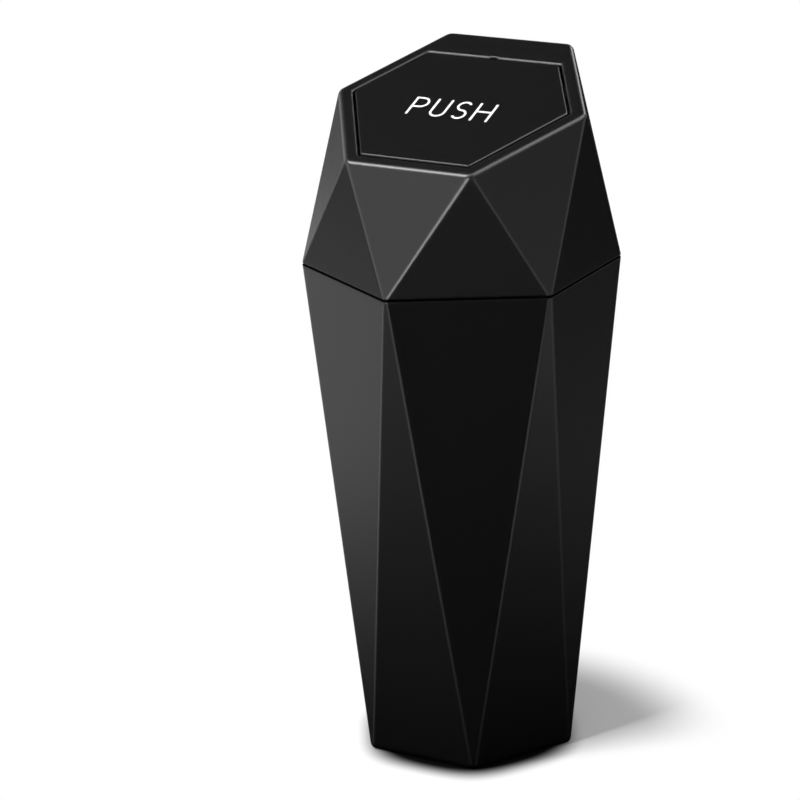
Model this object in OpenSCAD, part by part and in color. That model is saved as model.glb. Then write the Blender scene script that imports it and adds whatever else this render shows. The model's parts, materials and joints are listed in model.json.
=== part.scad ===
// Car trash bin: a faceted barrel, a lift-off head that plugs into it, and a
// push-to-open lid held by a heart-cam latch.
// Millimetres. Z is up, the front is -Y, the origin is the centre of the foot.
// Everything in the head is laid out on the sloping top: u runs to the right,
// v runs up the slope to the back, and w is the height above the top face.

/* [Outer form] */
// Size across the corners at the seam
seam_across = 90; // [80:0.5:100]
// Height of the seam between barrel and head
seam_h = 142; // [120:1:160]
// Height of the head, from the seam to the middle of the sloping top
head_h = 45.2; // [43:0.1:54]
// How far the top's corners stand outside the flats at the seam
top_lean = 0; // [-0.4:0.1:1.5]
// Slope of the top in degrees, down towards the front
top_tilt = 21; // [19:0.5:23]
// Size across the corners of the foot
foot_across = 67.2; // [56:0.2:78]

/* [Walls] */
// Wall of the barrel and of the head
wall = 2.0; // [1.6:0.1:2.2]
// Thickness of the rim round the lid
rim_t = 2.0; // [1.6:0.1:2.4]
// Thickness of the barrel's floor
floor_t = 2.2; // [1.6:0.1:4]
// Depth of the hollow under the foot
foot_hollow = 1.2; // [0.6:0.1:3]
// Width of the ring that the bin stands on
foot_ring = 5; // [3:0.5:9]

/* [Edges] */
// Plan radius of the foot's corners
foot_plan_r = 2.6; // [2.2:0.1:6]
// Radius round the foot's lower edge
foot_edge_r = 1.9; // [1:0.1:2.1]
// Plan radius of the top's corners
top_plan_r = 3.2; // [1.8:0.1:4]
// Radius round the top's edge
top_edge_r = 1.5; // [0.8:0.1:1.6]
// Plan radius of the corners at the seam
seam_plan_r = 1.8; // [0.8:0.1:3]
// Bevel on both sides of the seam line
seam_bevel = 0.35; // [0.2:0.05:0.6]
// Bevel round the lid opening
open_bevel = 0.35; // [0.2:0.05:0.5]

/* [Spigot] */
// Depth that the head plugs into the barrel
spigot_depth = 10; // [6:0.5:20]
// Wall of the spigot
spigot_t = 1.6; // [1.2:0.1:2.4]
// Gap between spigot and barrel
spigot_gap = 0.3; // [0.25:0.05:0.6]
// Height of the ribs on the spigot that grip the bag
grip_h = 0.22; // [0.1:0.01:0.22]

/* [Lid] */
// Width of the rim beside the lid, measured at its corners
rim_w = 5; // [4.9:0.1:5.6]
// Width of the rim behind the lid
rear_rim = 11.35; // [11.2:0.05:11.6]
// Corner radius of the opening
open_corner_r = 1.0; // [0.5:0.1:1.4]
// Gap round the lid
lid_gap = 0.7; // [0.6:0.05:0.75]
// Thickness of the lid's face
panel_t = 1.8; // [1.6:0.1:1.9]
// Depth of the lid's side walls below its face
panel_skirt = 2.4; // [1:0.1:2.6]
// Step from the lid's edge in to those walls
panel_step = 1.3; // [1:0.1:1.5]
// Thickness of those side walls
panel_wall = 1.2; // [1:0.1:1.5]
// Thickness of the plate inside the lid
carrier_t = 1.6; // [1.2:0.1:1.6]
// How far the lid goes down when it is pressed, in degrees
lid_press = 1.5; // [1:0.1:1.6]

/* [Hinge] */
// Distance from the lid's back edge to the hinge line under the rim
hinge_behind = 5.5; // [5.3:0.05:5.6]
// Depth of the hinge line below the top face
hinge_depth = 3.9; // [3.8:0.05:4]
// Radius of the hinge pin
pin_r = 0.8; // [0.6:0.05:0.9]
// Running clearance between pin and lid
pin_clear = 0.06; // [0.03:0.01:0.1]
// Wall round the pin in the lid's arms
knuckle_wall = 0.8; // [0.7:0.05:0.85]
// Thickness of the two curved arms
arm_t = 2.0; // [1.6:0.1:2.2]
// Width of each arm
arm_w = 3.6; // [2.4:0.1:4]
// Wire radius of the two lid springs
spring_wire_r = 0.25; // [0.2:0.05:0.25]
// Turns in each lid spring
spring_turns = 5; // [3:1:6]

/* [Frame] */
// Depth of the deck below the top face
deck_depth = 7; // [6.8:0.1:8]
// Thickness of the deck
deck_t = 1.6; // [1.4:0.1:2]
// Wall of the frame
frame_wall = 1.2; // [1:0.1:1.3]
// Step from the rim's edge back to the frame's wall
frame_step = 0.75; // [0.7:0.01:0.85]
// Width of the ledge round the throat, measured at its corners
throat_ledge = 5; // [4.5:0.1:8]
// Depth of the collar under the throat
throat_lip = 3.4; // [1:0.1:6]

/* [Latch] */
// Distance from the opening's front edge back to the middle of the latch
latch_in = 5.4; // [5.3:0.1:5.8]
// Width of the latch housing
latch_w = 10; // [9.6:0.1:11]
// Depth of the latch housing, front to back
latch_d = 9; // [8.6:0.1:9.2]
// Height of the latch housing
latch_h = 19.5; // [19:0.1:24]
// Wall of the latch housing
latch_wall = 1.1; // [0.9:0.1:1.2]

/* [Screws] */
// Radius of a screw's shank
screw_r = 0.9; // [0.8:0.05:1]
// Radius of a screw's head
screw_head_r = 1.9; // [1.6:0.1:2]
// Height of a screw's head
screw_head_h = 1.2; // [0.8:0.1:1.4]
// Length of a screw under its head
screw_len = 5; // [4.5:0.1:5.4]

/* [Hidden] */

shell_black = [0.11, 0.11, 0.115];
frame_black = [0.17, 0.17, 0.175];
lid_black = [0.13, 0.13, 0.135];
acetal_white = [0.86, 0.86, 0.83];
steel = [0.72, 0.73, 0.75];

skin = 0.01;
fine = 36;
over = 1;
to_corner = 1 / cos(30);
hex_side = 60;
seam_r = seam_across / 2;
foot_r = foot_across / 2;
top_r = seam_r / to_corner + top_lean;
top_h = seam_h + head_h;

// Spigot
spigot_in = wall + spigot_gap + spigot_t;
collar_h = 2.5;
grip_r = 0.7;
grip_low = seam_h - spigot_depth + 1.5;
grip_high = seam_h - 1;

// Lid and opening
open_r = top_r - rim_w;
open_front = open_r / to_corner;
open_back = top_r / to_corner - rear_rim;
lid_back = open_back - lid_gap;
panel_bevel = 0.3;
panel_lip = 0.2;
carrier_gap = 0.2;
nick_w = 2.4;
nick_d = 0.5;

// Screw posts, the hinge's end walls and the lid's arms, from the side inwards
post_r = screw_r + 1.3;
post_gap = 0.4;
post_back_u = 0.4465 * top_r;
ear_t = 2.4;
ear_gap = 0.6;
ear_out = post_back_u - post_r - post_gap;
ear_in = ear_out - ear_t;
arm_out = ear_in - ear_gap;

// Hinge: arms curve from the lid's plate round the rim's edge to the pin
hinge_v = lid_back + hinge_behind;
rim_reach = norm([hinge_v - open_back, hinge_depth]);
arm_in_r = rim_reach + 0.37;
arm_out_r = arm_in_r + arm_t;
web_half = 0.9;
knuckle_r = pin_r + knuckle_wall;
swing_gap = 0.35;
pin_half = ear_out - 0.4;
pin_press = 0.02;
coil_r = pin_r + spring_wire_r + 0.25;
coil_pitch = 2 * spring_wire_r + 0.06;
coil_len = spring_turns * coil_pitch + coil_pitch / 2;
coil_steps = 16;
coil_sweep = 360 * spring_turns + 180;
coil_rings = ceil(coil_sweep / 360 * coil_steps);
coil_u = arm_out - arm_w - coil_len - 1.7;
leg_len = 6;
arm_len = 5.6;
foot_u = 2.4;
foot_high = 1.4;
foot_low = 0.2;
skirt_back = hinge_v - 13.2;

// Frame
deck_top = -deck_depth;
deck_low = deck_top - deck_t;
frame_out = frame_step + frame_wall;
frame_free = 0.25;
tray_back = open_back + frame_step;
trough_r = arm_out_r + swing_gap;
trough_back = hinge_v + knuckle_r + 0.3;
trough_back_wall = 1.1;
trough_front = hinge_v - trough_r;
throat_r = open_r - throat_ledge;
tongue_w = 0.42 * throat_r;
tongue_v = latch_d / 2 + 1.3;
seat_half = 0.6;
seat_t = 1.8;
seat_high = 3.4;

// Screw places on the sloping top
post_front_u = 12;
post_front = open_front + frame_out + post_r;
post_back = tray_back + frame_wall + post_r + 0.25;
post_top = rim_t + 0.6;
tab_r = post_r - 0.1;
tab_gap = 0.3;
pilot_clear = 0.02;
screw_clear = 0.2;
pilot_end = 0.3;
pilot_depth = screw_len - deck_t + pilot_end;
slot_w = 0.44;
well_u = 0.44 * open_r;
well_front = -0.35 * open_r;
well_back = 0.18 * open_r;
stud_r = screw_r + 1.0;
well_t = 1.2;
well_gap = 0.15;
stud_len = 3.2;
stud_low = -panel_t - stud_len;
well_low = stud_low - well_t;
carrier_low = -panel_t - carrier_t;

// Ribs under the lid
rib_t = 1.1;
rib_h = 1.8;
rib_u = 0.57 * open_r;
rib_places = [-0.5 * open_r, -0.1 * open_r, 0.29 * open_r];

// Latch: all heights are w values on the sloping top
latch_v = open_front - latch_in;
latch_top = deck_top - 0.2;
latch_floor = latch_top - latch_h;
latch_gap = 0.2;
cam_room = 1.1;
ear_reach = 3.6;
latch_ear_u = latch_w / 2 + ear_reach;
latch_ear_w = deck_low - 3.4;
latch_ear_t = 1.4;
neck_u = 1.0;
barb_u = 2.1;
barb_v = 2;
barb_w = latch_top - 1.95;
barb_edge = 0.5;
barb_tip_u = 0.8;
barb_tip = barb_w - 2.2;
gusset_u = 2.2;
gusset_t = 1;
gusset_h = 1.4;
hook_gap = 0.15;
hook_t = 1.0;
hook_round = 0.4;
hook_in = neck_u + 0.3;
press_drop = (hinge_v + latch_v) * sin(lid_press);
cup_floor = barb_tip - press_drop - 0.3;
slider_u = latch_w / 2 - latch_wall - latch_gap;
slider_back = latch_d / 2 - latch_wall - latch_gap;
slider_front = latch_d / 2 - latch_wall - cam_room - latch_gap;
slider_low = latch_floor + latch_wall + press_drop + 1.3;
finger_t = 1.0;
finger_v = 2.1;
finger_root = 0.5;
slider_spring_v = (slider_back - slider_front) / 2 + 0.4;
cam_depth = 0.9;
cam_top = cup_floor - 0.9;
cam_low = slider_low + 0.7;
cam_half = 2.5;
wire_r = 0.4;
wire_v = latch_d / 2 - latch_wall - cam_room / 2 - 0.05;
wire_tip_w = cup_floor - 2.0;
wire_pivot_w = latch_floor + 2.6;
wire_tip_gap = 0.2;
wire_hole_clear = 0.05;
heart_notch = wire_tip_w - wire_r - 0.35;
heart_u = 1.4;
heart_shoulder = 0.6;
heart_waist = 1.1;
heart_side = 1.6;
heart_h = 2.8;
cell_r = 1.35;
cell_wire_r = 0.25;
cell_turns = 8;
cell_steps = 12;
cell_bore = cell_r + cell_wire_r + 0.2;
cell_seat = slider_low + 5.4;
cell_gap = 0.05;

// Outlines on the sloping top

// Half the width of the opening at v, grown outwards by g
function half_width(g, v) = open_r + g * to_corner - v / tan(hex_side);

// Corners of the opening grown by g, cut straight at v = back
function lid_corners(g, back) = let (r = open_r + g * to_corner) [
    [-r / 2, -r * cos(30)], [r / 2, -r * cos(30)], [r, 0],
    [half_width(g, back), back], [-half_width(g, back), back], [-r, 0]];

// A convex outline with each corner rounded to radius r
function rounded(pts, r, steps = 4) = [for (i = [0 : len(pts) - 1])
    let (p = pts[i], a = pts[(i + len(pts) - 1) % len(pts)] - p, b = pts[(i + 1) % len(pts)] - p,
        ua = a / norm(a), ub = b / norm(b), half = acos(ua * ub) / 2,
        c = p + (ua + ub) / norm(ua + ub) * r / sin(half),
        start = atan2(-ub[1] - ua[1], -ub[0] - ua[0]) - (90 - half))
    for (k = [0 : steps]) c + r * [cos(start + k * (180 - 2 * half) / steps),
        sin(start + k * (180 - 2 * half) / steps)]];

// Outline of the throat, grown by g, with the tongue that carries the latch
function throat_outline(g) = let (r = throat_r + g * to_corner, front = -r * cos(30),
        back = trough_front - frame_wall, tongue = tongue_v - latch_v - g)
    [[-r / 2, front], [-tongue_w + g, front], [-tongue_w + g, tongue], [tongue_w - g, tongue],
    [tongue_w - g, front], [r / 2, front], [r, 0],
    [r - back / tan(hex_side), back], [-r + back / tan(hex_side), back], [-r, 0]];

// Placing helpers

module on_top() {
    translate([0, 0, top_h]) rotate([top_tilt, 0, 0]) children();
}

// An upright prism of an outline between two heights
module slab(outline, low, high) {
    translate([0, 0, low]) linear_extrude(high - low) polygon(outline);
}

module box(low, high) {
    translate(low) cube(high - low);
}

module each_corner(radius, start) {
    for (i = [0 : 5]) rotate(start + 60 * i) translate([radius, 0, 0]) children();
}

// A disc with a rounded upper edge, its top face at height 0
module soft_disc(plan_r, edge_r, steps = 4) {
    for (k = [0 : steps]) let (a = 90 * k / steps)
        translate([0, 0, -edge_r + edge_r * sin(a) - skin])
            cylinder(r = plan_r - edge_r + edge_r * cos(a), h = skin, $fn = fine);
}

// A disc with a small bevel on the face at height 0
module bevel_disc(plan_r, bevel) {
    cylinder(r = plan_r - bevel, h = skin, $fn = fine);
    translate([0, 0, bevel]) cylinder(r = plan_r, h = skin, $fn = fine);
}

module hexagon(radius, start, z) {
    translate([0, 0, z]) rotate(start) cylinder(r = radius, h = skin, $fn = 6);
}

// The twelve-sided forms: two hexagons turned by 30 degrees to each other

module head_outer() {
    hull() {
        on_top() each_corner(top_r - top_plan_r * to_corner, 0) soft_disc(top_plan_r, top_edge_r);
        translate([0, 0, seam_h]) each_corner(seam_r - seam_plan_r * to_corner, 30)
            bevel_disc(seam_plan_r, seam_bevel);
    }
}

// The hollow of the head, with its sides moved in by free
module head_cavity(free) {
    hull() {
        on_top() hexagon(top_r - wall * 1.2 - free * to_corner, 0, -rim_t - skin);
        hexagon(seam_r - (wall + free) * to_corner, 30, seam_h - over);
    }
}

module barrel_outer() {
    hull() {
        translate([0, 0, seam_h]) mirror([0, 0, 1])
            each_corner(seam_r - seam_plan_r * to_corner, 30) bevel_disc(seam_plan_r, seam_bevel);
        mirror([0, 0, 1]) each_corner(foot_r - foot_plan_r * to_corner, 0)
            soft_disc(foot_plan_r, foot_edge_r);
    }
}

// The barrel's faceted form moved inwards by a distance, from a height up to the seam
module barrel_inner(inset, low) {
    hull() {
        hexagon(seam_r - inset * to_corner, 30, seam_h + skin);
        hexagon(foot_r - inset * to_corner, 0, low);
    }
}

module hex_prism(radius, start, low, high) {
    translate([0, 0, low]) rotate(start) cylinder(r = radius, h = high - low, $fn = 6);
}

// Barrel

module barrel() {
    color(shell_black) difference() {
        barrel_outer();
        barrel_inner(wall, foot_hollow + floor_t);
        translate([0, 0, -over]) linear_extrude(foot_hollow + over)
            polygon(rounded([for (i = [0 : 5]) (foot_r - foot_ring - foot_edge_r)
                * [cos(60 * i), sin(60 * i)]], foot_edge_r));
    }
}

// Head

module spigot() {
    intersection() {
        barrel_inner(wall + spigot_gap, 0);
        box([-seam_r, -seam_r, seam_h - spigot_depth], [seam_r, seam_r, seam_h + skin]);
    }
    hex_prism(seam_r - wall * to_corner + 0.2, 30, seam_h, seam_h + collar_h);
    grips();
}

// Half-round ribs on the spigot's flats, which grip the rim of the bag
module grips() {
    flat = seam_r / to_corner - wall - spigot_gap;
    lean = atan((seam_r - foot_r * to_corner) / to_corner / (seam_h - foot_hollow - floor_t));
    for (k = [0 : 5], side = [-1, 1]) rotate(hex_side * k)
        translate([flat + grip_h - grip_r, side * flat / 3, seam_h]) rotate([0, lean, 0])
            translate([0, 0, grip_low - seam_h]) cylinder(r = grip_r, h = grip_high - grip_low, $fn = fine);
}

// Places of the four posts that the frame is screwed to
function post_places() = [for (side = [-1, 1]) each
    [[side * post_front_u, -post_front], [side * post_back_u, post_back]]];

module at_posts(w) {
    for (p = post_places()) translate([p[0], p[1], w]) children();
}

module head_shell() {
    color(shell_black) difference() {
        union() {
            difference() {
                head_outer();
                head_cavity(0);
            }
            spigot();
            intersection() {
                on_top() at_posts(deck_top) cylinder(r = post_r, h = -post_top - deck_top, $fn = fine);
                head_outer();
            }
            on_top() for (side = [-1, 1]) translate([side * post_back_u, post_back, -post_top - skin])
                cylinder(r = post_r, h = post_top - rim_t / 2, $fn = fine);
        }
        barrel_inner(spigot_in, 0);
        hex_prism(seam_r - spigot_in * to_corner, 30, seam_h - skin, seam_h + collar_h + over);
        on_top() {
            slab(rounded(lid_corners(0, open_back), open_corner_r), -rim_t - over, over);
            hull() {
                slab(rounded(lid_corners(0, open_back), open_corner_r), -open_bevel - skin, -open_bevel);
                slab(rounded(lid_corners(open_bevel, open_back + open_bevel), open_corner_r), 0, skin);
            }
            box([-nick_w / 2, open_back - over, -rim_t - over], [nick_w / 2, open_back + nick_d, over]);
            at_posts(deck_top - over) cylinder(r = screw_r + pilot_clear, h = pilot_depth + over, $fn = fine);
        }
    }
}

// Inner frame: tray, deck, throat, hinge pocket and latch seat in one

module inner_frame() {
    color(frame_black) intersection() {
        union() {
            on_top() difference() {
                union() {
                    difference() {
                        union() {
                            slab(rounded(lid_corners(frame_out, tray_back + frame_wall), 2), deck_low, -rim_t);
                            pocket_outer();
                        }
                        slab(rounded(lid_corners(frame_step, tray_back), 1), deck_top, over);
                        pocket_inner();
                    }
                    throat_collar();
                    frame_tabs();
                    latch_posts();
                    spring_seats();
                }
                slab(throat_outline(0), deck_low - throat_lip - over, deck_top + over);
                latch_window();
                on_hinge(-ear_out - over) cylinder(r = pin_r + pin_press, h = 2 * (ear_out + over), $fn = fine);
                at_posts(deck_low - over)
                    cylinder(r = screw_r + screw_clear, h = deck_t + 2 * over, $fn = fine);
                for (side = [-1, 1]) translate([side * latch_ear_u, -latch_v, latch_ear_w - over])
                    cylinder(r = screw_r + pilot_clear, h = screw_len - latch_ear_t + over + pilot_end,
                        $fn = fine);
            }
        }
        head_cavity(frame_free);
    }
}

// Along the hinge line, starting at u
module on_hinge(u) {
    translate([u, hinge_v, -hinge_depth]) rotate([0, 90, 0]) children();
}

// The pocket that the curved arms swing in, its end walls carrying the pin
module pocket_outer() {
    outer = trough_r + frame_wall;
    intersection() {
        union() {
            on_hinge(-ear_out) cylinder(r = outer, h = 2 * ear_out, $fn = fine);
            box([-ear_out, hinge_v - outer, -hinge_depth], [ear_out, trough_back + trough_back_wall, -rim_t]);
        }
        box([-ear_out, hinge_v - outer, -hinge_depth - outer],
            [ear_out, trough_back + trough_back_wall, -rim_t]);
    }
}

module pocket_inner() {
    intersection() {
        union() {
            on_hinge(-ear_in) cylinder(r = trough_r, h = 2 * ear_in, $fn = fine);
            box([-ear_in, trough_front, -hinge_depth], [ear_in, trough_back, over]);
        }
        box([-ear_in, trough_front, -hinge_depth - trough_r], [ear_in, trough_back, over]);
    }
}

// Ribs in the pocket that the fixed legs of the springs bear on
module spring_seats() {
    seat_front = hinge_v - coil_r + spring_wire_r + 0.1;
    for (side = [-1, 1]) translate([side * coil_u, 0, 0])
        box([-seat_half, seat_front, -hinge_depth - trough_r - frame_wall / 3],
            [seat_half, seat_front + seat_t, -hinge_depth - seat_high]);
}

module throat_collar() {
    slab(throat_outline(frame_wall), deck_low - throat_lip, deck_low + skin);
}

// Tabs in front of and behind the tray, each over a post of the head
module frame_tabs() {
    front = -open_front - frame_step;
    translate([0, 0, deck_low]) {
        at_posts(0) cylinder(r = tab_r, h = deck_t, $fn = fine);
        for (side = [-1, 1]) {
            translate([side * post_front_u, 0, 0])
                box([-tab_r, -post_front, 0], [tab_r, front - tab_gap, deck_t]);
            translate([side * post_back_u, 0, 0])
                box([-tab_r, tray_back + tab_gap, 0], [tab_r, post_back, deck_t]);
        }
    }
}

module latch_posts() {
    for (side = [-1, 1]) translate([side * latch_ear_u, -latch_v, latch_ear_w])
        cylinder(r = post_r, h = deck_low - latch_ear_w + skin, $fn = fine);
}

// Opening in the deck for the top of the latch
module latch_window() {
    g = 0.15;
    box([-latch_w / 2 - g, -latch_v - latch_d / 2 - g, deck_low - over],
        [latch_w / 2 + g, -latch_v + latch_d / 2 + g, deck_top + over]);
}

// Screws

// A pan-head screw pointing up, its head under height 0
module screw(length = screw_len) {
    cylinder(r = screw_r, h = length, $fn = fine);
    difference() {
        translate([0, 0, -screw_head_h]) cylinder(r = screw_head_r, h = screw_head_h, $fn = fine);
        for (turn = [0, 90]) rotate(turn)
            box([-screw_head_r * 0.6, -slot_w / 2, -screw_head_h - over],
                [screw_head_r * 0.6, slot_w / 2, -screw_head_h * 0.4]);
    }
}

module frame_screws() {
    color(steel) on_top() at_posts(deck_low) screw();
}

// Lid

function well_places() = [for (side = [-1, 1], v = [well_front, well_back]) [side * well_u, v]];

// Outline of the lid moved in by a distance
function lid_outline(inset, r = open_corner_r) =
    rounded(lid_corners(-lid_gap - inset, lid_back - inset), r);

module lid_panel() {
    color(lid_black) on_top() difference() {
        union() {
            // The face, bevelled above, and below so that its back edge clears the rim
            hull() {
                slab(lid_outline(panel_bevel), -skin, 0);
                slab(lid_outline(0), -panel_bevel - panel_lip, -panel_bevel);
                slab(lid_outline(panel_step), -panel_t, -panel_t + skin);
            }
            difference() {
                slab(lid_outline(panel_step), -panel_t - panel_skirt, -panel_t + skin);
                slab(lid_outline(panel_step + panel_wall, 0.6), -panel_t - panel_skirt - over, -panel_t);
                box([-open_r, skirt_back, -panel_t - panel_skirt - over], [open_r, open_r, -panel_t]);
            }
            for (p = well_places()) translate([p[0], p[1], stud_low])
                cylinder(r = stud_r, h = stud_len + skin, $fn = fine);
        }
        for (p = well_places()) translate([p[0], p[1], stud_low - over])
            cylinder(r = screw_r + pilot_clear, h = over + screw_len - well_t + pilot_end, $fn = fine);
    }
}

module lid_carrier() {
    color(frame_black) on_top() difference() {
        union() {
            slab(lid_outline(panel_step + panel_wall + carrier_gap, 0.5), carrier_low, -panel_t);
            for (p = well_places()) translate([p[0], p[1], well_low])
                cylinder(r = stud_r + well_gap + well_t, h = carrier_low - well_low + skin, $fn = fine);
            for (side = [-1, 1]) lid_arm(side);
            stiffeners();
            striker();
        }
        for (p = well_places()) {
            translate([p[0], p[1], stud_low]) cylinder(r = stud_r + well_gap, h = -stud_low, $fn = fine);
            translate([p[0], p[1], well_low - over])
                cylinder(r = screw_r + screw_clear, h = well_t + 2 * over, $fn = fine);
        }
        on_hinge(-open_r) cylinder(r = pin_r + pin_clear, h = 2 * open_r, $fn = fine);
    }
}

// A curved arm from the plate round the rim's edge to the pin, with a foot for the spring
module lid_arm(side) {
    low = side > 0 ? arm_out - arm_w : -arm_out;
    foot_start = side > 0 ? arm_out - arm_w - foot_u : -arm_out + arm_w - skin;
    intersection() {
        difference() {
            on_hinge(low) cylinder(r = arm_out_r, h = arm_w, $fn = 72);
            on_hinge(low - over) cylinder(r = arm_in_r, h = arm_w + 2 * over, $fn = 72);
        }
        box([low, hinge_v - arm_out_r - over, -hinge_depth - arm_out_r - over],
            [low + arm_w, hinge_v + web_half, -panel_t - carrier_t / 2]);
    }
    box([low, hinge_v - web_half, -hinge_depth - arm_in_r - arm_t / 2],
        [low + arm_w, hinge_v + web_half, -hinge_depth]);
    on_hinge(low) cylinder(r = knuckle_r, h = arm_w, $fn = fine);
    box([foot_start, hinge_v - web_half, -hinge_depth - arm_len - foot_low],
        [foot_start + foot_u + skin, hinge_v + web_half, -hinge_depth - arm_len + foot_high]);
}

// Ribs under the plate
module stiffeners() {
    rib_low = carrier_low - rib_h;
    for (side = [-1, 1]) translate([side * rib_u, 0, 0])
        box([-rib_t / 2, rib_places[0], rib_low], [rib_t / 2, rib_places[2], carrier_low + skin]);
    for (v = rib_places) box([-rib_u, v - rib_t / 2, rib_low], [rib_u, v + rib_t / 2, carrier_low + skin]);
}

// Neck and barb that the latch fingers hold
module striker() {
    translate([0, -latch_v, 0]) {
        box([-neck_u, -barb_v, barb_w - barb_edge], [neck_u, barb_v, carrier_low + skin]);
        for (side = [-1, 1]) translate([side * gusset_u, 0, carrier_low])
            box([-gusset_t / 2, -barb_v, -gusset_h], [gusset_t / 2, barb_v, skin]);
        translate([0, barb_v, 0]) rotate([90, 0, 0]) linear_extrude(2 * barb_v)
            polygon([[-barb_u, barb_w], [barb_u, barb_w], [barb_u, barb_w - barb_edge],
                [barb_tip_u, barb_tip], [-barb_tip_u, barb_tip], [-barb_u, barb_w - barb_edge]]);
    }
}

module lid_screws() {
    color(steel) on_top() for (p = well_places()) translate([p[0], p[1], well_low]) screw();
}

// Hinge pin and its two springs

module hinge_pin() {
    color(steel) on_top() on_hinge(-pin_half) cylinder(r = pin_r, h = 2 * pin_half, $fn = fine);
}

// A round wire of radius r along a path; side is any direction across the whole path
module wire(path, r, side, sides = 8) {
    last = len(path) - 1;
    points = [for (i = [0 : last])
        let (t = path[min(i + 1, last)] - path[max(i - 1, 0)], x = cross(t, side),
            ux = x / norm(x), y = cross(ux, t), uy = y / norm(y))
        for (k = [0 : sides - 1]) path[i] + r * (cos(360 * k / sides) * ux + sin(360 * k / sides) * uy)];
    faces = concat([[for (k = [0 : sides - 1]) k]],
        [for (i = [0 : last - 1], k = [0 : sides - 1])
            let (a = i * sides + k, b = i * sides + (k + 1) % sides)
            each [[a, a + sides, b + sides], [a, b + sides, b]]],
        [[for (k = [sides - 1 : -1 : 0]) last * sides + k]]);
    polyhedron(points, faces);
}

// The leg stands against its rib, the coil goes round the pin, and the arm pushes the foot

function on_coil(angle, u) = [u, coil_r * cos(angle), coil_r * sin(angle)];
function hinge_spring_path() = concat(
    [for (l = [leg_len, leg_len / 2]) on_coil(180, coil_u) - [0, 0, l]],
    [for (k = [0 : coil_rings]) on_coil(180 - k * coil_sweep / coil_rings,
        coil_u + k * coil_len / coil_rings)],
    [for (l = [arm_len / 2, arm_len]) on_coil(0, coil_u + coil_len) - [0, 0, l]]);

module hinge_spring() {
    translate([0, hinge_v, -hinge_depth]) wire(hinge_spring_path(), spring_wire_r, [1, 0, 0]);
}

module hinge_spring_right() {
    color(steel) on_top() hinge_spring();
}

module hinge_spring_left() {
    color(steel) on_top() mirror([1, 0, 0]) hinge_spring();
}

// Latch

module at_latch() {
    on_top() translate([0, -latch_v, 0]) children();
}

module latch_housing() {
    color(frame_black) at_latch() difference() {
        union() {
            box([-latch_w / 2, -latch_d / 2, latch_floor], [latch_w / 2, latch_d / 2, latch_top]);
            for (side = [-1, 1]) {
                translate([side * latch_ear_u, 0, latch_ear_w - latch_ear_t])
                    cylinder(r = post_r, h = latch_ear_t, $fn = fine);
                translate([side * latch_w / 2, 0, latch_ear_w - latch_ear_t])
                    box([min(0, side * ear_reach), -post_r, 0], [max(0, side * ear_reach), post_r, latch_ear_t]);
            }
        }
        box([-latch_w / 2 + latch_wall, -latch_d / 2 + latch_wall, latch_floor + latch_wall],
            [latch_w / 2 - latch_wall, latch_d / 2 - latch_wall, latch_top + over]);
        for (side = [-1, 1]) translate([side * latch_ear_u, 0, latch_ear_w - latch_ear_t - over])
            cylinder(r = screw_r + screw_clear, h = latch_ear_t + 2 * over, $fn = fine);
        translate([0, -latch_d / 2 + latch_wall + over, wire_pivot_w]) rotate([90, 0, 0])
            cylinder(r = wire_r + wire_hole_clear, h = latch_wall + 2 * over, $fn = fine);
    }
}

module latch_slider() {
    color(acetal_white) at_latch() difference() {
        union() {
            box([-slider_u, -slider_front, slider_low], [slider_u, slider_back, cup_floor]);
            for (side = [-1, 1]) finger(side);
        }
        cam_track();
        translate([0, slider_spring_v, slider_low - over])
            cylinder(r = cell_bore, h = cell_seat - slider_low + over, $fn = fine);
    }
}

// A springy finger with a hook over the barb
module finger(side) {
    hook_w = barb_w + hook_gap;
    top = hook_w + hook_t;
    root = cup_floor - finger_root;
    translate([0, finger_v, 0]) rotate([90, 0, 0]) linear_extrude(2 * finger_v)
        polygon([for (p = [[slider_u, root], [slider_u, top - hook_round], [slider_u - hook_round, top],
            [hook_in + hook_round, top], [hook_in, top - hook_round], [hook_in, hook_w],
            [slider_u - finger_t, hook_w], [slider_u - finger_t, root]]) [side * p[0], p[1]]]);
}

// The loop round the heart that the wire runs in
module cam_track() {
    shoulder = heart_notch + heart_shoulder;
    side = heart_notch - heart_side;
    translate([0, -slider_front + cam_depth, 0]) rotate([90, 0, 0]) linear_extrude(cam_depth + over)
        difference() {
            polygon([[-cam_half, cam_low], [cam_half, cam_low], [cam_half, cam_top], [-cam_half, cam_top]]);
            polygon([[0, heart_notch], [heart_u, shoulder], [heart_waist, side], [0, heart_notch - heart_h],
                [-heart_waist, side], [-heart_u, shoulder]]);
        }
}

module latch_wire() {
    color(steel) at_latch() {
        translate([0, -wire_v, wire_pivot_w]) cylinder(r = wire_r, h = wire_tip_w - wire_pivot_w, $fn = fine);
        for (w = [wire_pivot_w, wire_tip_w]) translate([0, -wire_v, w]) sphere(r = wire_r, $fn = fine);
        translate([0, -wire_v, wire_tip_w]) rotate([-90, 0, 0])
            cylinder(r = wire_r, h = wire_v - slider_front + cam_depth - wire_tip_gap, $fn = fine);
        translate([0, -wire_v, wire_pivot_w]) rotate([90, 0, 0])
            cylinder(r = wire_r, h = latch_d / 2 - wire_v, $fn = fine);
    }
}

function cell_path() = let (low = latch_floor + latch_wall + cell_wire_r + cell_gap,
        high = cell_seat - cell_wire_r - cell_gap, rings = cell_turns * cell_steps)
    [for (k = [0 : rings]) [cell_r * cos(360 * k / cell_steps), cell_r * sin(360 * k / cell_steps),
        low + (high - low) * k / rings]];

module latch_spring() {
    color(steel) at_latch() translate([0, slider_spring_v, 0])
        wire(cell_path(), cell_wire_r, [0, 0, 1], 6);
}

module latch_screws() {
    color(steel) at_latch() for (side = [-1, 1])
        translate([side * latch_ear_u, 0, latch_ear_w - latch_ear_t]) screw();
}

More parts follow.
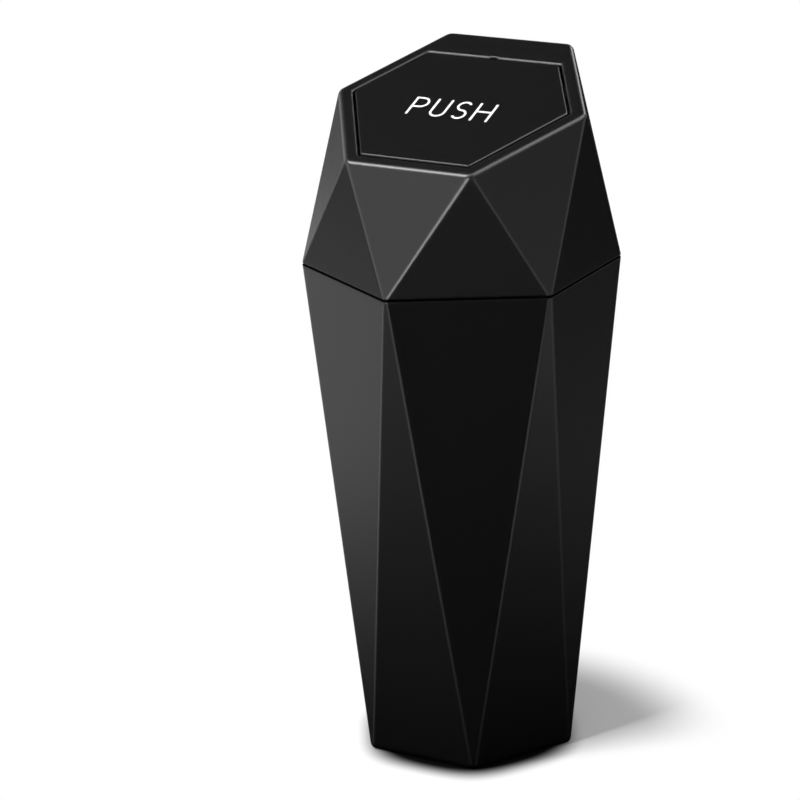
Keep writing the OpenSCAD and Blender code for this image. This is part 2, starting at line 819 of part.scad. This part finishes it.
barrel();
head_shell();
inner_frame();
frame_screws();
lid_panel();
lid_carrier();
lid_screws();
hinge_pin();
hinge_spring_left();
hinge_spring_right();
latch_housing();
latch_slider();
latch_spring();
latch_wire();
latch_screws();
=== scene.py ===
"""Looks, light and camera for the car trash bin, in metres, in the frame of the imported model."""

import json
import math

import bmesh
import bpy
from mathutils import Matrix, Vector


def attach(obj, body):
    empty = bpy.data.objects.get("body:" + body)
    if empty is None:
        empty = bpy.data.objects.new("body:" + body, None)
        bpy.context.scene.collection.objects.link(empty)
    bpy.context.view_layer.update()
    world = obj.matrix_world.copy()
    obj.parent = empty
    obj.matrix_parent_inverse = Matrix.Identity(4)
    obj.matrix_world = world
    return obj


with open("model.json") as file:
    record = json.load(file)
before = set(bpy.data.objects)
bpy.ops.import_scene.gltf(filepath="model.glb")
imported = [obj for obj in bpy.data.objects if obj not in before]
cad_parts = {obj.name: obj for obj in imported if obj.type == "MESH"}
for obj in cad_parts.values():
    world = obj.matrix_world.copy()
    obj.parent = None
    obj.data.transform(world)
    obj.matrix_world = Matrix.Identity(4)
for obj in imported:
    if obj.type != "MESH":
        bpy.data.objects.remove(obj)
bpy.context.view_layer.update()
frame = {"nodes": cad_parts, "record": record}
nodes = frame["nodes"]

MM = 0.001

# The sloping top: u to the right, v up the slope, w above the face, all in millimetres
TOP_H = 187.2
TOP_TILT = math.radians(21)

# Camera, fitted to the corners of the bin in the photograph
VIEW_AZIMUTH = math.radians(29.12)
VIEW_ELEVATION = math.radians(18.56)
VIEW_ROLL = math.radians(-1.248)
VIEW_AIM = (0, 0, 0.1)
VIEW_DISTANCE = 0.9036
VIEW_SIDE = 0.01817
VIEW_RISE = -0.00032
VIEW_LENS = 142.81
VIEW_CLIP = (0.05, 20)
SENSOR = 36.0

# Plastic: sizes of the cloud in its colour, the flow in its gloss and the grain of its skin
CLOUD_SCALE = 28.0
FLOW_SCALE = 16.0
FLOW_SPREAD = 0.006
GRAIN_SCALE = 7500.0
GRAIN_DEPTH = 0.000001
PLASTIC_IOR = 1.46

# Steel: fine lines along X, and how they change its shade and gloss
LINE_SCALE = 900.0
LINE_STRETCH = (0.08, 1.0, 1.0)
LINE_SHADE = 0.8
LINE_ROUGH = (-0.06, 0.08)
LINE_DEPTH = 0.000004

# Rounding of the moulded edges in the shading, in metres
SHELL_EDGE = 0.0009
LID_EDGE = 0.0003
FRAME_EDGE = 0.0005
EDGE_SAMPLES = 6
SHARP_ANGLE = math.radians(28)
WELD = 0.000001

# The seam between head and barrel, in metres: painted shade on its lips, where the gloss is taken
# away
SEAM_H = 0.1419
SEAM_DIM = (0.0002, 0.0005)
SEAM_GLOSS = 0.5

# Lettering on the lid, in millimetres: its height, stroke and thickness, and each letter's sides
CAP_LOW = -8.1
CAP_HIGH = 0.3
STROKE = 0.66
PRINT_LOW = -0.02
PRINT_T = 0.05
PRINT_STEP = 0.004
SIDES = {"p": (-13.1, -8.3), "u": (-6.4, -1.6), "s": (0.5, 4.8), "h": (6.7, 12.2)}
P_WAIST = 0.46
H_BAR = 0.53
S_START = 32
S_END = -148
ARC_STEPS = 14
MITRE_LEAST = 0.3
INK_SCALE = 900.0

# Floor, in metres: where it runs out to white, and how much of its shadow is lifted before that
FLOOR_SIZE = 6.0
FLOOR_WHITE = (0.85, 0.85, 0.85)
FLOOR_FADE = (0.05, 0.08)
FADE_PLACE = (0.0062, -0.0112, 0)
FLOOR_LIFT = 0.2

# Painted contact shadow on the floor close to the foot, in metres, and the distance within which
# the gloss sees a painted dark floor
FOOT_FLAT = 0.0291
FOOT_SIDES = (30, 90, 150)
CONTACT_PLACE = (0.0029, -0.0052, 0)
CONTACT_SOFT = (-0.0043, 0.0047)
CONTACT_DARK = 0.004
CONTACT_ROUND = 0.016
FOOT_PAINTED_SHADE = 0.24

# Lamps: azimuth and elevation in degrees, distance and width in metres, and power in watts
LAMPS = {
    "key": (243, 52, 1.6, 0.45, 31.0),
    "fill": (250, 85, 1.6, 1.4, 6.0),
}

# Soft panels of the studio, which the glossy plastic mirrors: the azimuths between which each one
# stands, its lowest and highest elevation, all in degrees, and its brightness, where 1 is the
# white of the background
PANELS = {
    "rear_low": (85, 120, -31, -19, 0.6),
    "rear_mid": (60, 125, 16, 40, 0.3),
    "rear_strip": (74, 94, 17, 33, 4.5),
    "left_rear_low": (120, 160, -25, -12, 3.8),
    "left_rear_strip": (150, 170, -12, -4, 0.7),
    "left_wall": (132, 286, -3, 30, 1.05),
    "left_low": (160, 286, -25, -12, 0.73),
    "left_front_low": (196, 254, -25, -19, 1.2),
    "left_front_foot": (198, 220, -33, -24, 4.0),
    "left_front_strip": (196, 286, 5, 16, 2.2),
    "left_overhead": (160, 222, 45, 92, 4.0),
    "left_front_overhead": (196, 254, 33, 92, 3.0),
    "left_front_key": (200, 234, 46, 62, 18.0),
    "front_overhead": (160, 314, 45, 92, 1.1),
    "front_strip": (261, 283, -1, 17, 12.0),
    "front_foot": (259, 283, -32, -24, 3.0),
    "camera_wall": (254, 358, -1, 30, 0.18),
    "camera_right_strip": (317, 335, -4, 11, 1.2),
    "camera_right_foot": (322, 346, -33, -25, 3.2),
    "right_overhead": (314, 445, 30, 92, 1.2),
    "right_front_overhead": (338, 410, 45, 92, 5.0),
    "right_wall": (314, 445, -4, 16, 0.5),
    "right_strip": (378, 400, -8, 5, 0.5),
    "right_front_low": (358, 380, -25, -19, 2.8),
    "right_rear_low": (358, 445, -25, -19, 0.11),
    "right_low": (380, 410, -31, 5, 0.45),
    "right_rear_high": (386, 412, 34, 50, 5.0),
}

# Half widths of the panels' soft edges in degrees, the room's brightness between the panels, and
# the world's brightness to rays that are neither straight nor glossy
AROUND_SOFT = 6
RISE_SOFT = 3.5
ROOM = 0.004
DIM = 0.15


def on_top(u, v, w=0.0):
    """The place of a point of the sloping top."""
    y = v * math.cos(TOP_TILT) - w * math.sin(TOP_TILT)
    z = TOP_H + v * math.sin(TOP_TILT) + w * math.cos(TOP_TILT)
    return Vector((u, y, z)) * MM


def toward(azimuth, elevation=0.0):
    """The unit vector at an azimuth and an elevation, both in radians."""
    level = math.cos(elevation)
    return Vector((math.cos(azimuth) * level, math.sin(azimuth) * level, math.sin(elevation)))


def put(name, data):
    """A new object in the scene."""
    piece = bpy.data.objects.new(name, data)
    bpy.context.scene.collection.objects.link(piece)
    return piece


def put_mesh(name, mesh, material):
    """A new object in the scene, from a mesh that is under construction."""
    data = bpy.data.meshes.new(name)
    mesh.to_mesh(data)
    mesh.free()
    data.materials.append(material)
    return put(name, data)


# Materials


class Shader:
    """The node tree of a material or of the world, with short calls to add and join nodes."""

    def __init__(self, name, world=False):
        if world:
            self.world = bpy.data.worlds.new(name)
            self.world.use_nodes = True
            self.tree = self.world.node_tree
            return
        self.material = bpy.data.materials.new(name)
        self.material.use_nodes = True
        self.tree = self.material.node_tree
        self.bsdf = self.tree.nodes["Principled BSDF"]

    def add(self, kind, **values):
        node = self.tree.nodes.new(kind)
        for key, value in values.items():
            if key in node.inputs:
                node.inputs[key].default_value = value
            else:
                setattr(node, key, value)
        return node

    def link(self, start, end):
        self.tree.links.new(start, end)

    def feed(self, value, socket):
        """Sets a socket to a number, or links it to another node's output."""
        if isinstance(value, (int, float)):
            socket.default_value = value
        else:
            self.link(value, socket)

    def set(self, **values):
        """Sets or links sockets of the Principled BSDF, named with _ for each space."""
        for key, value in values.items():
            self.feed(value, self.bsdf.inputs[key.replace("_", " ")])

    def place(self):
        return self.add("ShaderNodeTexCoord").outputs["Object"]

    def noise(self, scale, detail=2.0, roughness=0.5, place=None):
        node = self.add("ShaderNodeTexNoise", Scale=scale, Detail=detail, Roughness=roughness)
        self.link(place or self.place(), node.inputs["Vector"])
        return node.outputs["Fac"]

    def math(self, operation, *values):
        node = self.add("ShaderNodeMath", operation=operation)
        for socket, value in zip(node.inputs, values):
            self.feed(value, socket)
        return node.outputs["Value"]

    def vector(self, operation, value, fixed=(0, 0, 0)):
        """A vector operation on a linked vector and a fixed one."""
        node = self.add("ShaderNodeVectorMath", operation=operation)
        self.link(value, node.inputs[0])
        node.inputs[1].default_value = fixed
        return node.outputs

    def pick(self, factor, first, second):
        """The second number where factor is 1, and the first where it is 0."""
        node = self.add("ShaderNodeMix", data_type="FLOAT")
        self.link(factor, node.inputs["Factor"])
        self.feed(first, node.inputs["A"])
        self.feed(second, node.inputs["B"])
        return node.outputs["Result"]

    def ramp(self, factor, low, high, start=0.0, end=1.0, smooth=False):
        """Low where factor is at start, high where it is at end, and between them between."""
        node = self.add("ShaderNodeMapRange")
        if smooth:
            node.interpolation_type = "SMOOTHSTEP"
        ends = {"From Min": start, "From Max": end, "To Min": low, "To Max": high}
        for key, value in ends.items():
            node.inputs[key].default_value = value
        self.link(factor, node.inputs["Value"])
        return node.outputs["Result"]

    def blend(self, factor, first, second):
        """A colour between two, by factor."""
        node = self.add("ShaderNodeMix", data_type="RGBA")
        node.inputs["A"].default_value = (*first, 1)
        node.inputs["B"].default_value = (*second, 1)
        self.link(factor, node.inputs["Factor"])
        return node.outputs["Result"]

    def bump(self, height, depth, below=None):
        node = self.add("ShaderNodeBump", Strength=1.0, Distance=depth)
        self.link(height, node.inputs["Height"])
        if below is not None:
            self.link(below, node.inputs["Normal"])
        return node.outputs["Normal"]

    def layer(self, factor, first, second):
        """The second shader where factor is 1, and the first where it is 0."""
        node = self.add("ShaderNodeMixShader")
        self.link(factor, node.inputs["Fac"])
        self.link(first, node.inputs[1])
        self.link(second, node.inputs[2])
        return node.outputs["Shader"]

    def straight(self, path):
        """1 for the rays that show the background as the camera sees it."""
        return self.math("MAXIMUM", path["Is Camera Ray"], path["Is Transmission Ray"])


def plastic(name, dark, light, rough, edge=FRAME_EDGE, painted_seam_shade=False):
    """Moulded plastic with soft edges, a fine grain, a slight unevenness from moulding and, where
    asked, painted shade along the seam.
    """
    shader = Shader(name)
    cloud = shader.noise(CLOUD_SCALE, 3.0)
    flow = shader.noise(FLOW_SCALE, 0.0)
    soft = shader.add("ShaderNodeBevel", samples=EDGE_SAMPLES, Radius=edge)
    grain = shader.noise(GRAIN_SCALE, 1.0, 0.4)
    shader.set(
        Base_Color=shader.blend(cloud, dark, light),
        Roughness=shader.ramp(flow, rough - FLOW_SPREAD, rough + FLOW_SPREAD),
        Normal=shader.bump(grain, GRAIN_DEPTH, soft.outputs["Normal"]),
        IOR=PLASTIC_IOR,
    )
    if painted_seam_shade:
        # Painted shade: the gloss is taken away close to the seam's height, so that its lips show
        # dark
        rise = shader.add("ShaderNodeSeparateXYZ")
        shader.link(shader.place(), rise.inputs[0])
        off = shader.math("ABSOLUTE", shader.math("SUBTRACT", rise.outputs["Z"], SEAM_H))
        shader.set(Specular_IOR_Level=shader.ramp(off, 0.0, SEAM_GLOSS, *SEAM_DIM))
    return shader.material


def metal(name, colour, rough):
    """Drawn or plated steel with fine lines."""
    shader = Shader(name)
    stretch = shader.add("ShaderNodeMapping")
    stretch.inputs["Scale"].default_value = LINE_STRETCH
    shader.link(shader.place(), stretch.inputs["Vector"])
    lines = shader.noise(LINE_SCALE, place=stretch.outputs["Vector"])
    shade = [c * LINE_SHADE for c in colour]
    shader.set(
        Base_Color=shader.blend(lines, shade, colour),
        Roughness=shader.ramp(lines, *(rough + more for more in LINE_ROUGH)),
        Normal=shader.bump(lines, LINE_DEPTH),
        Metallic=1.0,
    )
    return shader.material


def print_ink():
    """White pad-printed ink, a little uneven."""
    shader = Shader("print_white")
    cloud = shader.noise(INK_SCALE)
    shader.set(
        Base_Color=shader.blend(cloud, (0.86, 0.86, 0.86), (0.93, 0.93, 0.93)),
        Roughness=shader.ramp(cloud, 0.5, 0.6),
    )
    return shader.material


def dress():
    """Gives every node its material by the record's slot."""
    shell = ((0.0009, 0.0009, 0.00095), (0.0012, 0.0012, 0.00125))
    lid = ((0.0005, 0.0005, 0.00055), (0.0007, 0.0007, 0.00075))
    inside = ((0.012, 0.012, 0.0125), (0.015, 0.015, 0.0155))
    latch = ((0.01, 0.01, 0.0105), (0.013, 0.013, 0.0135))
    white = ((0.76, 0.76, 0.73), (0.82, 0.82, 0.79))
    looks = {
        "shell": plastic("shell_plastic", *shell, 0.27, SHELL_EDGE, painted_seam_shade=True),
        "lid": plastic("lid_plastic", *lid, 0.27, LID_EDGE),
        "frame": plastic("frame_plastic", *inside, 0.55),
        "latch_black": plastic("latch_plastic", *latch, 0.5),
        "acetal": plastic("acetal_white", *white, 0.35),
        "steel": metal("zinc_steel", (0.62, 0.63, 0.65), 0.3),
        "spring_wire": metal("spring_steel", (0.5, 0.5, 0.52), 0.32),
    }
    for part in frame["record"]["subparts"]:
        for slot in nodes[part["node"]].material_slots:
            slot.material = looks[part["material_slot"]]


# Edges


def smooth_group():
    """Geometry nodes that shade a mesh smooth, apart from its sharp edges."""
    group = bpy.data.node_groups.new("smooth_by_angle", "GeometryNodeTree")
    group.interface.new_socket("Geometry", in_out="INPUT", socket_type="NodeSocketGeometry")
    group.interface.new_socket("Geometry", in_out="OUTPUT", socket_type="NodeSocketGeometry")
    start = group.nodes.new("NodeGroupInput")
    faces = group.nodes.new("GeometryNodeSetShadeSmooth")
    faces.domain = "FACE"
    edges = group.nodes.new("GeometryNodeSetShadeSmooth")
    edges.domain = "EDGE"
    edges.inputs["Shade Smooth"].default_value = False
    angle = group.nodes.new("GeometryNodeInputMeshEdgeAngle")
    above = group.nodes.new("FunctionNodeCompare")
    above.operation = "GREATER_THAN"
    above.inputs["B"].default_value = SHARP_ANGLE
    end = group.nodes.new("NodeGroupOutput")
    group.links.new(start.outputs["Geometry"], faces.inputs["Geometry"])
    group.links.new(faces.outputs["Geometry"], edges.inputs["Geometry"])
    group.links.new(angle.outputs["Unsigned Angle"], above.inputs["A"])
    group.links.new(above.outputs["Result"], edges.inputs["Selection"])
    group.links.new(edges.outputs["Geometry"], end.inputs["Geometry"])
    return group


def soften():
    """Shades the rounded edges of the mouldings as the smooth radii that they are."""
    group = smooth_group()
    for node in nodes.values():
        weld = node.modifiers.new("weld", "WELD")
        weld.merge_threshold = WELD
        node.modifiers.new("smooth", "NODES").node_group = group
        normals = node.modifiers.new("normals", "WEIGHTED_NORMAL")
        normals.keep_sharp = True
        normals.weight = 50


# Lettering


def arc(centre, radii, start, end):
    """Points on an ellipse about centre, from one angle to another, in degrees."""
    points = []
    for k in range(ARC_STEPS + 1):
        a = math.radians(start + (end - start) * k / ARC_STEPS)
        points.append(Vector((radii[0] * math.cos(a), radii[1] * math.sin(a))) + Vector(centre))
    return points


def line(*points):
    return [Vector(point) for point in points]


def letter_paths():
    """Centre lines of the four letters, as open paths on the lid's face."""
    half = STROKE / 2
    low, high = CAP_LOW + half, CAP_HIGH - half
    tall = high - low
    left = {letter: sides[0] + half for letter, sides in SIDES.items()}
    right = {letter: sides[1] - half for letter, sides in SIDES.items()}

    waist = low + tall * P_WAIST
    bowl = (high - waist) / 2
    p_bowl = line((left["p"], waist))
    p_bowl += arc((right["p"] - bowl, waist + bowl), (bowl, bowl), -90, 90)
    p_bowl += line((left["p"], high))

    turn = (right["u"] - left["u"]) / 2
    u_curve = line((left["u"], CAP_HIGH))
    u_curve += arc((left["u"] + turn, low + turn), (turn, turn), 180, 360)
    u_curve += line((right["u"], CAP_HIGH))

    middle, up = (left["s"] + right["s"]) / 2, tall / 4
    radii = ((right["s"] - left["s"]) / 2, up)
    s_curve = arc((middle, high - up), radii, S_START, 270)
    s_curve += arc((middle, low + up), radii, 90, S_END)[1:]

    bar = low + tall * H_BAR
    return {
        "letter_p": [line((left["p"], CAP_LOW), (left["p"], CAP_HIGH)), p_bowl],
        "letter_u": [u_curve],
        "letter_s": [s_curve],
        "letter_h": [
            line((left["h"], CAP_LOW), (left["h"], CAP_HIGH)),
            line((right["h"], CAP_LOW), (right["h"], CAP_HIGH)),
            line((left["h"], bar), (right["h"], bar)),
        ],
    }


def ribbon(mesh, path, width, low, high):
    """Adds a flat strip of one width along a path, between two heights above the face."""
    rows = []
    for i, point in enumerate(path):
        before, after = path[max(i - 1, 0)], path[min(i + 1, len(path) - 1)]
        first, second = point - before, after - point
        first = first.normalized() if first.length else second.normalized()
        second = second.normalized() if second.length else first
        across = Vector((-(first + second).y, (first + second).x)).normalized()
        reach = width / 2 / max(across.dot(Vector((-first.y, first.x))), MITRE_LEAST)
        sides = (point + across * reach, point - across * reach)
        rows.append([mesh.verts.new(on_top(p.x, p.y, w)) for p in sides for w in (low, high)])
    for a, b in zip(rows, rows[1:]):
        for i, j in ((0, 1), (1, 3), (3, 2), (2, 0)):
            mesh.faces.new((a[i], a[j], b[j], b[i]))
    for row in (rows[0], rows[-1]):
        mesh.faces.new((row[0], row[1], row[3], row[2]))


def lettering():
    """The printed letters, each stroke of one a hair higher than the last."""
    ink = print_ink()
    for name, paths in letter_paths().items():
        mesh = bmesh.new()
        for i, path in enumerate(paths):
            ribbon(mesh, path, STROKE, PRINT_LOW, PRINT_T + PRINT_STEP * i)
        bmesh.ops.recalc_face_normals(mesh, faces=mesh.faces)
        piece = put_mesh(name, mesh, ink)
        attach(piece, "lid")


# Stage


def painted_contact_shadow(shader):
    """Painted contact shadow on the floor close to the six sides of the foot: nearly 0 under it,
    and 1 beyond.
    """
    place = shader.vector("SUBTRACT", shader.place(), CONTACT_PLACE)["Vector"]
    reach = 0.0
    for turn in FOOT_SIDES:
        side = shader.vector("DOT_PRODUCT", place, toward(math.radians(turn)))["Value"]
        reach = shader.math("SMOOTH_MAX", shader.math("ABSOLUTE", side), reach, CONTACT_ROUND)
    start, end = (FOOT_FLAT + soft for soft in CONTACT_SOFT)
    return shader.ramp(reach, CONTACT_DARK, 1, start, end, smooth=True)


def floor():
    """A pale floor that keeps the shadow, with a painted contact shadow at the foot, and runs out
    to the white of the background.

    Glossy rays pass through it to the studio, and the less so the nearer they meet it to the foot,
    as a painted shade of the floor in the plastic's gloss.
    """
    mesh = bmesh.new()
    bmesh.ops.create_grid(mesh, x_segments=1, y_segments=1, size=FLOOR_SIZE)
    shader = Shader("floor_pale")
    path = shader.add("ShaderNodeLightPath").outputs
    contact_shadow = painted_contact_shadow(shader)
    # The painted contact shadow darkens both the floor's colour and its white to the camera
    colour = shader.blend(contact_shadow, (0, 0, 0), FLOOR_WHITE)
    shader.set(Base_Color=colour, Roughness=1.0, Specular_IOR_Level=0.0)
    white = shader.add("ShaderNodeEmission")
    shader.link(contact_shadow, white.inputs["Strength"])
    far = shader.vector("DISTANCE", shader.place(), FADE_PLACE)["Value"]
    fade = shader.ramp(far, FLOOR_LIFT, 1.0, *FLOOR_FADE, smooth=True)
    seen = shader.math("MULTIPLY", fade, shader.straight(path))
    ground = shader.layer(seen, shader.bsdf.outputs["BSDF"], white.outputs["Emission"])
    # Painted shade in reflections: glossy rays that meet the floor pass through it darkened,
    # nearly black at the foot and clear beyond a set distance
    out = shader.vector("LENGTH", shader.place())["Value"]
    clear = shader.add("ShaderNodeBsdfTransparent")
    shader.link(shader.ramp(out, 0.0, 1.0, 0.0, FOOT_PAINTED_SHADE), clear.inputs["Color"])
    whole = shader.layer(path["Is Glossy Ray"], ground, clear.outputs["BSDF"])
    shader.link(whole, shader.tree.nodes["Material Output"].inputs["Surface"])
    put_mesh("floor", mesh, shader.material)


def panel(shader, course, rise, row):
    """One soft-edged panel, as a brightness by direction."""
    first, last, low, high, bright = row
    middle, half = math.radians(first + last) / 2, (last - first) / 2
    facing = shader.vector("DOT_PRODUCT", course, toward(middle))["Value"]
    away = shader.math("DEGREES", shader.math("ARCCOSINE", facing))
    side = shader.ramp(away, bright, 0, half - AROUND_SOFT, half + AROUND_SOFT, smooth=True)
    bottom = shader.ramp(rise, 0, 1, low - RISE_SOFT, low + RISE_SOFT, smooth=True)
    top = shader.ramp(rise, 1, 0, high - RISE_SOFT, high + RISE_SOFT, smooth=True)
    return shader.math("MULTIPLY", shader.math("MULTIPLY", side, bottom), top)


def studio():
    """White to the camera, soft panels to the gloss of the plastic, and dim to all else."""
    shader = Shader("studio", world=True)
    place = shader.add("ShaderNodeTexCoord").outputs["Generated"]
    split = shader.add("ShaderNodeSeparateXYZ")
    shader.link(place, split.inputs[0])
    rise = shader.math("DEGREES", shader.math("ARCSINE", split.outputs["Z"]))
    level = shader.vector("MULTIPLY", place, (1, 1, 0))["Vector"]
    course = shader.vector("NORMALIZE", level)["Vector"]
    glow = ROOM
    for row in PANELS.values():
        glow = shader.math("ADD", panel(shader, course, rise, row), glow)
    path = shader.add("ShaderNodeLightPath").outputs
    lit = shader.pick(path["Is Glossy Ray"], DIM, glow)
    background = shader.tree.nodes["Background"]
    background.inputs["Color"].default_value = (1, 1, 1, 1)
    shader.link(shader.pick(shader.straight(path), lit, 1.0), background.inputs["Strength"])
    shader.world.cycles.sampling_method = "NONE"
    bpy.context.scene.world = shader.world


def lights():
    """Square lamps that light surfaces and throw the shadow, without a mirror image."""
    for name, (azimuth, elevation, distance, size, power) in LAMPS.items():
        data = bpy.data.lights.new(name, "AREA")
        data.size, data.energy = size, power
        away = toward(math.radians(azimuth), math.radians(elevation))
        lamp = put(name, data)
        lamp.location = away * distance
        lamp.rotation_euler = away.to_track_quat("Z", "Y").to_euler()
        lamp.visible_glossy = False


def camera():
    """The photograph's view."""
    away = toward(VIEW_AZIMUTH - math.pi / 2, VIEW_ELEVATION)
    level = toward(VIEW_AZIMUTH)
    rise = away.cross(level)
    right = math.cos(VIEW_ROLL) * level + math.sin(VIEW_ROLL) * rise
    up = math.cos(VIEW_ROLL) * rise - math.sin(VIEW_ROLL) * level
    data = bpy.data.cameras.new("camera")
    data.sensor_width, data.lens = SENSOR, VIEW_LENS
    data.clip_start, data.clip_end = VIEW_CLIP
    lens = put("camera", data)
    place = Vector(VIEW_AIM) - right * VIEW_SIDE - up * VIEW_RISE + away * VIEW_DISTANCE
    turn = Matrix((right, up, away)).transposed().to_4x4()
    lens.matrix_world = Matrix.Translation(place) @ turn
    bpy.context.scene.camera = lens


camera()
studio()
floor()
lights()
dress()
soften()
lettering()
bpy.context.scene.view_settings.view_transform = "Standard"
